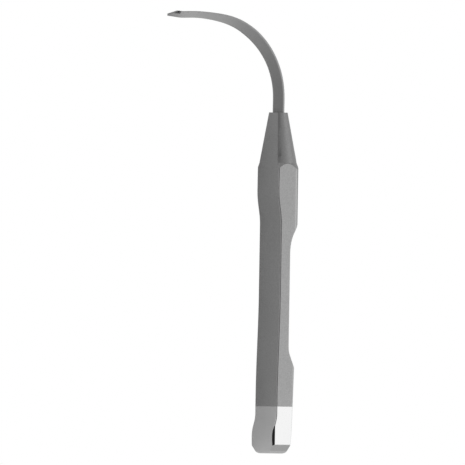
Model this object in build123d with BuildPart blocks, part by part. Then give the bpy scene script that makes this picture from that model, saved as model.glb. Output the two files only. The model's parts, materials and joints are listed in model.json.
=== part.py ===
"""Wire-passing bone awl: a curved blade with an eye at its tip, held in a hollow two-shell steel handle."""
from build123d import *
import os

os.makedirs("parts", exist_ok=True)

# Driving dimensions in millimetres.
# "along" runs from the tail end of the handle to the tip; "depth" is across the handle in the plane of
# the hook, negative on the hook side; "side" is square to the hook plane.
handle_length = 170.5
handle_width = 19.8
wall = 1.1
corner_radius = 0.5

neck_radius = 4.85
neck_slope = 0.196
neck_flare_start = 145.2
neck_flare_slope = 0.5
neck_front = -2.7
neck_foot_front = -4.9
neck_foot = 148.0

bulge_front = -5.3
bulge_back = 7.6
back_corner_radius = 2.9
waist_front = -3.45
waist_back = 2.45
butt_front = -4.4
butt_back = 5.9
tail_front = -6.45
tail_back = 5.0
heel_front = -5.8
heel_back = 4.1
heel_radius = 1.4
tail_chamfer = 4.4
tail_corner = 4.3
facet_radius = 0.5
bevel_depth = -5.05
bevel_slope = 0.42
bevel_length = 17.0

# Places along the handle where its two outlines change, first on the hook side and then on the back.
bulge_top = 136.0
bulge_foot = 131.0
waist_top = 114.0
waist_foot = 80.0
butt_top = 30.0
butt_foot = 20.0
tail_top = 8.4
back_tail_top = 12.0
back_butt_top = 43.0
back_waist_foot = 54.0
back_waist_top = 100.0
back_bulge_foot = 116.0
butt_step_top = 49.3
butt_step_depth = 0.8
bulge_step_foot = 110.2
bulge_step_depth = 2.2

shaft_back = 2.75
shaft_height = 5.6
tip_height = 3.35
taper_start = 41.0
taper_end = 84.0
spine_thickness = 3.2
tip_spine = 2.4
edge_thickness = 0.9
land_share = 0.16
hook_radius = 41.9
hook_start = 177.55
hook_turn = 80.0
crown_radius = 110.0
crown_turn = 9.0
tip_run = 17.6
tip_point = 6.0
tip_end_drop = 1.7
tip_end_height = 1.1
tip_end_thickness = 0.7
section_gaps = 12
tip_depth = -66.7
blade_top = 220.67

tang_width = 3.6
tang_thickness = 2.4
tang_length = 46.0
bush_length = 16.0
mouth_gap = 0.45
web_thickness = 2.0
web_along = 128.0

eye_length = 3.4
eye_width = 0.95
eye_from_tip = 5.3
eye_drop = 0.8
eye_slant = 0.7

# The awl lies on its side: the hook plane is level, half the handle's width above the floor, and the
# middle of the overall box is at X = 0, Y = 0.
half_width = handle_width / 2
middle_depth = (tip_depth + bulge_back) / 2
middle_along = blade_top / 2
HOOK = Plane(origin=(-middle_depth, -middle_along, half_width))
AXIS = Axis(HOOK.origin, (0, 1, 0))


def cross_plane(along):
    """The plane square to the handle at a distance from its tail end."""
    return Plane(HOOK.from_local_coords(Vector(0, along, 0)), x_dir=(1, 0, 0), z_dir=(0, -1, 0))


FRONT = Plane(HOOK.origin, x_dir=(0, 0, 1), z_dir=(-1, 0, 0))


def neck_outline(inset):
    """Half of the turned neck, from the axis out: a cone with a flared foot, then a wide cylinder."""
    base_along = 120
    flare_radius = neck_radius + neck_slope * (handle_length - neck_flare_start)
    base_radius = flare_radius + neck_flare_slope * (neck_flare_start - base_along)
    with BuildSketch(Plane.XY) as half:
        with BuildLine():
            Polyline((0, handle_length - inset), (neck_radius - inset, handle_length - inset),
                     (flare_radius - inset, neck_flare_start), (base_radius - inset, base_along),
                     (40, base_along - 40), (40, -1), (0, -1), close=True)
        make_face()
    return half.sketch


def is_side_edge(edge):
    """Whether an edge lies round the rim of a side face, away from the neck's end."""
    middle = edge.center()
    on_side = abs(abs(middle.Z - half_width) - half_width) < 0.01
    return on_side and middle.Y < HOOK.origin.Y + handle_length - 1


def tail_bevel_outline(face_side, inset):
    """A triangle outside one hook-side corner of the tail, seen along the handle."""
    near, far = 1, 8
    side = half_width - inset * 1.1
    with BuildSketch(Plane.XY) as corner:
        with BuildLine():
            Polyline((bevel_depth + near, (side + near * bevel_slope) * face_side),
                     (bevel_depth - far, (side - far * bevel_slope) * face_side),
                     (bevel_depth - far, (side + near) * face_side), close=True)
        make_face()
    return corner.sketch


def side_outline(inset):
    """The handle seen square to the hook plane: stepped on the hook side, hollowed on the back.

    The inset moves the outline inwards, for the hollow inside the handle.
    """
    down, up = (0, -1), (0, 1)
    top = handle_length - inset
    bulge, waist, butt, tail, heel = (
        d + inset for d in (bulge_front, waist_front, butt_front, tail_front, heel_front))
    back_bulge, back_waist, back_butt, back_tail, back_heel = (
        d - inset for d in (bulge_back, waist_back, butt_back, tail_back, heel_back))
    with BuildSketch(Plane.XY) as side:
        with BuildLine():
            neck_face = Line((neck_front + inset, handle_length), (neck_foot_front + inset, neck_foot))
            Spline(neck_face @ 1, (bulge, bulge_top), tangents=(neck_face % 1, down))
            Line((bulge, bulge_top), (bulge, bulge_foot))
            Spline((bulge, bulge_foot), (waist, waist_top), tangents=(down, down))
            Line((waist, waist_top), (waist, waist_foot))
            Spline((waist, waist_foot), (butt, butt_top), tangents=(down, down))
            Line((butt, butt_top), (butt, butt_foot))
            Spline((butt, butt_foot), (tail, tail_top), tangents=(down, down))
            Spline((tail, tail_top), (heel, inset), tangents=(down, (0.15, -1)))
            Line((heel, inset), (back_heel, inset))
            butt_line = Line((back_tail, back_tail_top), (back_butt, back_butt_top))
            Spline((back_heel, inset), (back_tail, back_tail_top), tangents=((0.03, 1), butt_line % 0))
            butt_step = Line((back_butt, back_butt_top), (back_waist + butt_step_depth, butt_step_top))
            Spline(butt_step @ 1, (back_waist, back_waist_foot), tangents=(butt_step % 1, up))
            Line((back_waist, back_waist_foot), (back_waist, back_waist_top))
            bulge_step = Line((back_waist + bulge_step_depth, bulge_step_foot),
                              (back_bulge, back_bulge_foot))
            Spline((back_waist, back_waist_top), bulge_step @ 0, tangents=(up, bulge_step % 0))
            Line((back_bulge, back_bulge_foot), (back_bulge, handle_length))
            Line((back_bulge, handle_length), (neck_front + inset, handle_length))
        make_face()
        fillet(side.vertices().group_by(Axis.Y)[0], heel_radius - inset)
        if inset > 0:
            split(bisect_by=Plane.XZ.offset(-top), keep=Keep.TOP)
    return side.sketch


def front_outline(inset):
    """The handle seen from the hook side: parallel sides, and a tail with two slanted facets."""
    half = half_width - inset
    reach = half_width - tail_chamfer - inset * 2 ** 0.5
    top = handle_length + 1
    with BuildSketch(Plane.XY) as front:
        with BuildLine():
            Polyline((half, top), (half, half - reach), (reach + inset, inset), (-reach - inset, inset),
                     (-half, half - reach), (-half, top), close=True)
        make_face()
        fillet(front.vertices().group_by(Axis.Y)[1], facet_radius)
        fillet(front.vertices().group_by(Axis.Y)[0], tail_corner - inset)
    return front.sketch


def back_outline(inset):
    """The handle seen along its length: a slab whose two back corners are well rounded."""
    reach = 30
    half = half_width - inset
    with BuildSketch(Plane.XY) as across:
        with Locations((bulge_back - inset - reach / 2, 0)):
            Rectangle(reach, 2 * half)
        fillet(across.vertices().group_by(Axis.X)[-1], back_corner_radius - inset)
    return across.sketch


def block(inset):
    """The handle's form before its corners are rounded, or the hollow inside it."""
    with BuildPart() as form:
        with BuildSketch(HOOK):
            add(side_outline(inset))
        extrude(amount=half_width - inset, both=True)
        if inset == 0:
            fillet(form.edges().filter_by(is_side_edge), corner_radius)
        with BuildSketch(FRONT):
            add(front_outline(inset))
        extrude(amount=30, both=True, mode=Mode.INTERSECT)
        with BuildSketch(cross_plane(handle_length + 1)):
            add(back_outline(inset))
        extrude(amount=handle_length + 2, mode=Mode.INTERSECT)
        with BuildSketch(HOOK):
            add(neck_outline(inset))
        revolve(axis=AXIS, mode=Mode.INTERSECT)
        with BuildSketch(cross_plane(bevel_length)):
            add([tail_bevel_outline(face_side, inset) for face_side in (1, -1)])
        extrude(amount=bevel_length + 1, mode=Mode.SUBTRACT)
    return form.part


# The outside of the handle and the hollow inside it.
outside = block(0)
hollow = block(wall)

# The mouth in the neck's end, which the tang passes through.
with BuildPart() as mouth:
    with BuildSketch(cross_plane(handle_length + 1)):
        Rectangle(tang_width + 2 * mouth_gap, tang_thickness + 2 * mouth_gap)
    extrude(amount=wall + 2)

# Two half shells, welded along the hook plane and ground flush. The lower mirrors the upper.
with BuildPart() as upper_half_shell:
    add(outside)
    with BuildSketch(HOOK):
        Rectangle(3 * handle_length, 3 * handle_length)
    extrude(amount=handle_width, mode=Mode.INTERSECT)
    add(hollow, mode=Mode.SUBTRACT)
    add(mouth.part, mode=Mode.SUBTRACT)
upper_half_shell.part.label = "upper_half_shell"
export_step(upper_half_shell.part, "parts/upper_half_shell.step")

with BuildPart() as lower_half_shell:
    mirror(upper_half_shell.part, about=HOOK)
lower_half_shell.part.label = "lower_half_shell"
export_step(lower_half_shell.part, "parts/lower_half_shell.step")


def slice_of_hollow(top, bottom):
    """The part of the hollow between two distances from the tail, less the tang's slot."""
    with BuildPart() as piece:
        add(hollow)
        split(bisect_by=cross_plane(top), keep=Keep.TOP)
        split(bisect_by=cross_plane(bottom), keep=Keep.BOTTOM)
        with BuildSketch(cross_plane(handle_length + 1)):
            Rectangle(tang_width, tang_thickness)
        extrude(amount=tang_length + 1, mode=Mode.SUBTRACT)
    return piece.part


# The bush that fills the neck round the tang.
bush_top = handle_length - wall
with BuildPart() as neck_bush:
    add(slice_of_hollow(bush_top, bush_top - bush_length))
neck_bush.part.label = "neck_bush"
export_step(neck_bush.part, "parts/neck_bush.step")

# The stamped web that steadies the far end of the tang.
with BuildPart() as tang_web:
    add(slice_of_hollow(web_along + web_thickness, web_along))
tang_web.part.label = "tang_web"
export_step(tang_web.part, "parts/tang_web.step")

# The braze metal that fills the mouth of the neck round the tang.
with BuildPart() as braze_fill:
    with BuildSketch(cross_plane(handle_length)):
        Rectangle(tang_width + 2 * mouth_gap, tang_thickness + 2 * mouth_gap)
        Rectangle(tang_width, tang_thickness, mode=Mode.SUBTRACT)
    extrude(amount=wall)
braze_fill.part.label = "braze_fill"
export_step(braze_fill.part, "parts/braze_fill.step")


def blend(distance, start, end):
    """Rises smoothly from 0 at one distance along the blade to 1 at another."""
    t = min(max((distance - start) / (end - start), 0), 1)
    return t * t * (3 - 2 * t)


def blade_section(path, distance, drop=0, height=None, thickness=None):
    """A wedge section of the blade: a wide spine on the outside of the hook, a thin edge inside it."""
    taper = blend(distance, taper_start, taper_end)
    depth = height or shaft_height + (tip_height - shaft_height) * taper
    spine = thickness or spine_thickness + (tip_spine - spine_thickness) * taper
    edge = min(edge_thickness, spine)
    place = distance / path.length
    heading = path % place
    inward = Vector(-heading.Y, heading.X, 0)
    plane = Plane(path @ place + inward * drop, x_dir=inward, z_dir=heading)
    with BuildSketch(plane) as section:
        with BuildLine():
            Polyline((0, -spine / 2), (depth * land_share, -spine / 2), (depth, -edge / 2),
                     (depth, edge / 2), (depth * land_share, spine / 2), (0, spine / 2), close=True)
        make_face()
    return section.sketch


# The blade: a straight shaft, a long even bend and a flat tip, with a tang at its root.
with BuildLine(HOOK) as spine_line:
    shaft_line = Line((shaft_back, handle_length), (shaft_back, hook_start))
    bend = JernArc(shaft_line @ 1, shaft_line % 1, hook_radius, hook_turn)
    crown = JernArc(bend @ 1, bend % 1, crown_radius, crown_turn)
    Line(crown @ 1, crown @ 1 + (crown % 1) * tip_run)
spine_path = spine_line.wires()[0]
point_start = spine_path.length - tip_point
stations = [point_start * step / section_gaps for step in range(section_gaps + 1)]

eye_place = spine_path @ (1 - eye_from_tip / spine_path.length)
eye_heading = spine_path % (1 - eye_from_tip / spine_path.length)
eye_mouth = eye_place + Vector(0, -eye_drop, tip_spine / 2)
EYE = Plane(eye_mouth, x_dir=eye_heading, z_dir=(0, eye_slant, 1))

with BuildPart() as awl_blade:
    add([blade_section(spine_path, station) for station in stations])
    loft()
    add(blade_section(spine_path, point_start))
    add(blade_section(spine_path, spine_path.length, tip_end_drop, tip_end_height, tip_end_thickness))
    loft(ruled=True)
    with BuildSketch(cross_plane(handle_length)):
        Rectangle(tang_width, tang_thickness)
    extrude(amount=tang_length)
    with BuildSketch(EYE):
        SlotOverall(eye_length, eye_width)
    extrude(amount=2 * tip_height, both=True, mode=Mode.SUBTRACT)
awl_blade.part.label = "awl_blade"
export_step(awl_blade.part, "parts/awl_blade.step")
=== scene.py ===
"""The bone awl's looks: its steel finishes, and the floor, light and camera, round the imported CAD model."""
import json
import math

import bpy
from mathutils import Matrix, Vector


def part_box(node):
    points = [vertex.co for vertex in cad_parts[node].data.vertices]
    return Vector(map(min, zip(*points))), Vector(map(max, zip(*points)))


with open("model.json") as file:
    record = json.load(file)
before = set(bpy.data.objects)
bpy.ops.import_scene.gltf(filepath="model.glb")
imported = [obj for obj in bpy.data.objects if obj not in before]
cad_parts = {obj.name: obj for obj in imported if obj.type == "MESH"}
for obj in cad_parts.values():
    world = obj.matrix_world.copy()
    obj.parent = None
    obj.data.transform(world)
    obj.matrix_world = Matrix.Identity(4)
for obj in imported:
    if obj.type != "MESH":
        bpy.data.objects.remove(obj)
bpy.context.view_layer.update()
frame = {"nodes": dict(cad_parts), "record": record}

# Measures of the awl, in metres. The tail of the handle is mirror-polished, and the rest of it is satin.
handle_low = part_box("upper_half_shell")[0]
braze_low, braze_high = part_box("braze_fill")
neck_end = Vector(((braze_low.x + braze_high.x) / 2, braze_high.y, (braze_low.z + braze_high.z) / 2))
POLISHED_LENGTH = 0.0235
POLISH_BLUR = 0.0002
polish_edge = handle_low.y + POLISHED_LENGTH

# The view: how far the camera leans from square to the side face towards the front face, how far the
# awl leans in the picture, and where the neck's end stands from the picture's middle.
VIEW_LEAN = math.radians(33)
PICTURE_LEAN = math.radians(0.945)
PICTURE_WIDTH = 0.2325
NECK_RIGHT = 0.02275
NECK_UP = 0.060
CAMERA_DISTANCE = 1.2

to_camera = Vector((-math.sin(VIEW_LEAN), 0, math.cos(VIEW_LEAN)))
level_right = Vector((0, 1, 0)).cross(to_camera)
picture_right = level_right * math.cos(PICTURE_LEAN) + Vector((0, 1, 0)) * math.sin(PICTURE_LEAN)
picture_up = to_camera.cross(picture_right)


def make_camera():
    """A view with no perspective, as a very long lens gives, of the front face and one side face."""
    data = bpy.data.cameras.new("camera")
    data.type = "ORTHO"
    data.ortho_scale = PICTURE_WIDTH
    camera = bpy.data.objects.new("camera", data)
    aim = neck_end - picture_right * NECK_RIGHT - picture_up * NECK_UP
    turn = Matrix((picture_right, picture_up, to_camera)).transposed()
    camera.matrix_world = Matrix.Translation(aim + to_camera * CAMERA_DISTANCE) @ turn.to_4x4()
    bpy.context.scene.collection.objects.link(camera)
    bpy.context.scene.camera = camera
    return aim


def softbox(name, direction, aim, distance, width, height, radiance):
    """A soft rectangular light that faces the awl from a direction."""
    data = bpy.data.lights.new(name, "AREA")
    data.shape = "RECTANGLE"
    data.size = width
    data.size_y = height
    data.energy = radiance * math.pi * width * height
    light = bpy.data.objects.new(name, data)
    light.location = aim + direction.normalized() * distance
    light.rotation_mode = "QUATERNION"
    light.rotation_quaternion = direction.to_track_quat("Z", "Y")
    bpy.context.scene.collection.objects.link(light)


class Nodes:
    """Adds and joins the nodes of one material or world."""

    def __init__(self, tree):
        self.tree = tree
        tree.nodes.clear()

    def add(self, kind, settings=None, **inputs):
        """A node, with its settings, and values or sockets for the inputs that are named."""
        node = self.tree.nodes.new(kind)
        for key, value in (settings or {}).items():
            setattr(node, key, value)
        for key, value in inputs.items():
            name = int(key[1:]) if key[0] == "_" else key.replace("_", " ")
            if isinstance(value, bpy.types.NodeSocket):
                self.tree.links.new(value, node.inputs[name])
            else:
                node.inputs[name].default_value = value
        return node

    def maths(self, operation, first, second=0.0, clamp=False):
        """The result of a sum on one or two numbers."""
        return self.add("ShaderNodeMath", {"operation": operation, "use_clamp": clamp},
                        _0=first, _1=second).outputs[0]

    def noise(self, where, scale, detail=2.0):
        """Noise from 0 to 1, with features about 1/scale metres wide."""
        return self.add("ShaderNodeTexNoise", Vector=where, Scale=scale, Detail=detail).outputs[0]

    def between(self, share, low, high):
        """A number from low to high, by a share from 0 to 1."""
        return self.add("ShaderNodeMapRange", Value=share, To_Min=low, To_Max=high).outputs[0]


def new_material(name):
    """An empty node material, and the helper that fills it."""
    material = bpy.data.materials.new(name)
    material.use_nodes = True
    return material, Nodes(material.node_tree)


def grey(value):
    """An opaque colour with no tint."""
    return (value, value, value, 1)


def handle_steel():
    """Bead-blasted stainless steel, with a sharp edge where the mirror polish of the tail begins."""
    material, n = new_material("handle_steel_look")
    where = n.add("ShaderNodeTexCoord").outputs["Object"]
    along = n.add("ShaderNodeSeparateXYZ", Vector=where).outputs["Y"]
    wander = n.maths("MULTIPLY", n.maths("SUBTRACT", n.noise(where, 900), 0.5), POLISH_BLUR / 2)
    past_edge = n.maths("SUBTRACT", n.maths("ADD", along, wander), polish_edge - POLISH_BLUR / 2)
    satin = n.maths("MULTIPLY", past_edge, 1 / POLISH_BLUR, clamp=True)
    beads = n.noise(where, 1700, 4.0)
    clouds = n.noise(where, 45, 3.0)
    speckle = n.between(beads, 0.26, 0.47)
    tone = n.maths("ADD", speckle, n.between(clouds, -0.03, 0.03))
    polished_tone = n.between(clouds, 0.64, 0.67)
    colour = n.add("ShaderNodeMix", {"data_type": "FLOAT"}, _0=satin, _2=polished_tone, _3=tone).outputs[0]
    satin_rough = n.maths("ADD", n.between(clouds, 0.30, 0.36), n.between(beads, -0.03, 0.03))
    polish_rough = n.between(n.noise(where, 350, 4.0), 0.03, 0.07)
    rough = n.add("ShaderNodeMix", {"data_type": "FLOAT"}, _0=satin, _2=polish_rough,
                  _3=satin_rough).outputs[0]
    height = n.maths("MULTIPLY", beads, satin)
    bump = n.add("ShaderNodeBump", Strength=0.25, Distance=0.00002, Height=height).outputs[0]
    shade = n.add("ShaderNodeBsdfPrincipled", Metallic=1.0, Base_Color=colour, Roughness=rough, Normal=bump)
    n.add("ShaderNodeOutputMaterial", Surface=shade.outputs[0])
    return material


def blade_steel():
    """Satin-ground stainless steel with fine marks along the blade."""
    material, n = new_material("blade_steel_look")
    where = n.add("ShaderNodeTexCoord").outputs["Object"]
    grain = n.noise(where, 1900, 4.0)
    clouds = n.noise(where, 60, 3.0)
    tone = n.maths("ADD", n.between(grain, 0.30, 0.42), n.between(clouds, -0.02, 0.02))
    rough = n.maths("ADD", n.between(clouds, 0.34, 0.40), n.between(grain, -0.03, 0.03))
    bump = n.add("ShaderNodeBump", Strength=0.2, Distance=0.00001, Height=grain).outputs[0]
    shade = n.add("ShaderNodeBsdfPrincipled", Metallic=1.0, Base_Color=tone, Roughness=rough, Normal=bump)
    n.add("ShaderNodeOutputMaterial", Surface=shade.outputs[0])
    return material


def inner_steel():
    """Turned and stamped steel that is never polished, inside the handle."""
    material, n = new_material("inner_steel_look")
    where = n.add("ShaderNodeTexCoord").outputs["Object"]
    rings = n.add("ShaderNodeTexWave", {"bands_direction": "Y"}, Vector=where, Scale=700,
                  Distortion=0.4, Detail=2.0).outputs[1]
    stains = n.noise(where, 120, 4.0)
    tone = n.between(stains, 0.38, 0.50)
    rough = n.between(rings, 0.32, 0.46)
    bump = n.add("ShaderNodeBump", Strength=0.3, Distance=0.00002, Height=rings).outputs[0]
    shade = n.add("ShaderNodeBsdfPrincipled", Metallic=1.0, Base_Color=tone, Roughness=rough, Normal=bump)
    n.add("ShaderNodeOutputMaterial", Surface=shade.outputs[0])
    return material


def braze_metal():
    """Silver braze, a little warmer than the steel, with small ripples from setting."""
    material, n = new_material("braze_metal_look")
    where = n.add("ShaderNodeTexCoord").outputs["Object"]
    ripples = n.noise(where, 1400, 3.0)
    colour = n.add("ShaderNodeValToRGB", Fac=ripples)
    colour.color_ramp.elements[0].color = (0.50, 0.47, 0.41, 1)
    colour.color_ramp.elements[1].color = (0.68, 0.65, 0.58, 1)
    rough = n.between(ripples, 0.30, 0.44)
    bump = n.add("ShaderNodeBump", Strength=0.3, Distance=0.00003, Height=ripples).outputs[0]
    shade = n.add("ShaderNodeBsdfPrincipled", Metallic=1.0, Base_Color=colour.outputs[0], Roughness=rough,
                  Normal=bump)
    n.add("ShaderNodeOutputMaterial", Surface=shade.outputs[0])
    return material


def finish_nodes():
    """Gives each CAD node the look of the record's material slot that it belongs to."""
    looks = {"handle_steel": handle_steel(), "blade_steel": blade_steel(), "inner_steel": inner_steel(),
             "braze_metal": braze_metal()}
    for part in frame["record"]["subparts"]:
        node = frame["nodes"][part["node"]]
        node.data.materials.clear()
        node.data.materials.append(looks[part["material_slot"]])


# The floor is as bright as the picture's white, and a soft grey where the steel mirrors it.
FLOOR_SIZE = 6.0
FLOOR_GAP = 0.0002
FLOOR_GLOW = 0.17


def make_floor():
    """A plain floor just under the awl."""
    bpy.ops.mesh.primitive_plane_add(size=FLOOR_SIZE, location=(0, 0, -FLOOR_GAP))
    floor = bpy.context.object
    floor.name = "floor"
    material, n = new_material("floor_look")
    path = n.add("ShaderNodeLightPath")
    where = n.add("ShaderNodeTexCoord").outputs["Object"]
    tone = n.between(n.noise(where, 3, 2.0), 0.78, 0.80)
    matte = n.add("ShaderNodeBsdfDiffuse", Color=tone)
    glow = n.add("ShaderNodeEmission", Color=grey(1), Strength=FLOOR_GLOW)
    lit = n.add("ShaderNodeAddShader", _0=matte.outputs[0], _1=glow.outputs[0])
    white = n.add("ShaderNodeEmission", Color=grey(1), Strength=1.0)
    seen = n.add("ShaderNodeMixShader", Fac=path.outputs["Is Camera Ray"], _1=lit.outputs[0],
                 _2=white.outputs[0])
    n.add("ShaderNodeOutputMaterial", Surface=seen.outputs[0])
    floor.data.materials.append(material)


# The studio: a grey room with a dark patch above the awl's front, and a low bright band that is strongest
# on the hook side and fades out towards the back. A large softbox stands on the back side, and a narrow
# strip light beyond the tail.
ROOM_RADIANCE = 0.50
DARK_RADIANCE = 0.02
DARK_CORE = math.radians(16)
DARK_SPREAD = math.radians(27)
dark_direction = Vector((-0.36, 0, 0.93)).normalized()
HORIZON_RADIANCE = 1.1
HORIZON_TOP = math.sin(math.radians(14))


def make_room():
    """The world's light, white where the camera sees it."""
    world = bpy.data.worlds.new("room")
    bpy.context.scene.world = world
    world.use_nodes = True
    n = Nodes(world.node_tree)
    path = n.add("ShaderNodeLightPath")
    direction = n.add("ShaderNodeTexCoord").outputs["Generated"]
    towards = n.add("ShaderNodeVectorMath", {"operation": "DOT_PRODUCT"}, _0=direction, _1=dark_direction)
    room = n.add("ShaderNodeMapRange", {"interpolation_type": "SMOOTHSTEP"}, Value=towards.outputs["Value"],
                 From_Min=math.cos(DARK_SPREAD), From_Max=math.cos(DARK_CORE), To_Min=ROOM_RADIANCE,
                 To_Max=DARK_RADIANCE)
    height = n.add("ShaderNodeSeparateXYZ", Vector=direction).outputs["Z"]
    horizon = n.add("ShaderNodeMapRange", {"interpolation_type": "SMOOTHSTEP"}, Value=height,
                    From_Min=0.0, From_Max=HORIZON_TOP, To_Min=HORIZON_RADIANCE, To_Max=0.0)
    sideways = n.add("ShaderNodeVectorMath", {"operation": "DOT_PRODUCT"}, _0=direction, _1=(-1, 0, 0))
    front_share = n.add("ShaderNodeMapRange", {"interpolation_type": "SMOOTHSTEP"},
                        Value=sideways.outputs["Value"], From_Min=-0.5, From_Max=0.6)
    band = n.maths("MULTIPLY", horizon.outputs[0], front_share.outputs[0])
    radiance = n.maths("ADD", room.outputs[0], band)
    lit = n.add("ShaderNodeBackground", Color=grey(1), Strength=radiance)
    white = n.add("ShaderNodeBackground", Color=grey(1), Strength=1.0)
    seen = n.add("ShaderNodeMixShader", Fac=path.outputs["Is Camera Ray"], _1=lit.outputs[0],
                 _2=white.outputs[0])
    n.add("ShaderNodeOutputWorld", Surface=seen.outputs[0])


bpy.context.scene.view_settings.view_transform = "Standard"
aim = make_camera()
make_floor()
make_room()
softbox("key_softbox", Vector((0.80, -0.16, 0.58)), aim, distance=1.3, width=1.1, height=1.16, radiance=0.88)
softbox("strip_light", Vector((0.545, -0.78, 0.31)), aim, distance=1.0, width=0.8, height=0.06, radiance=2.0)
finish_nodes()
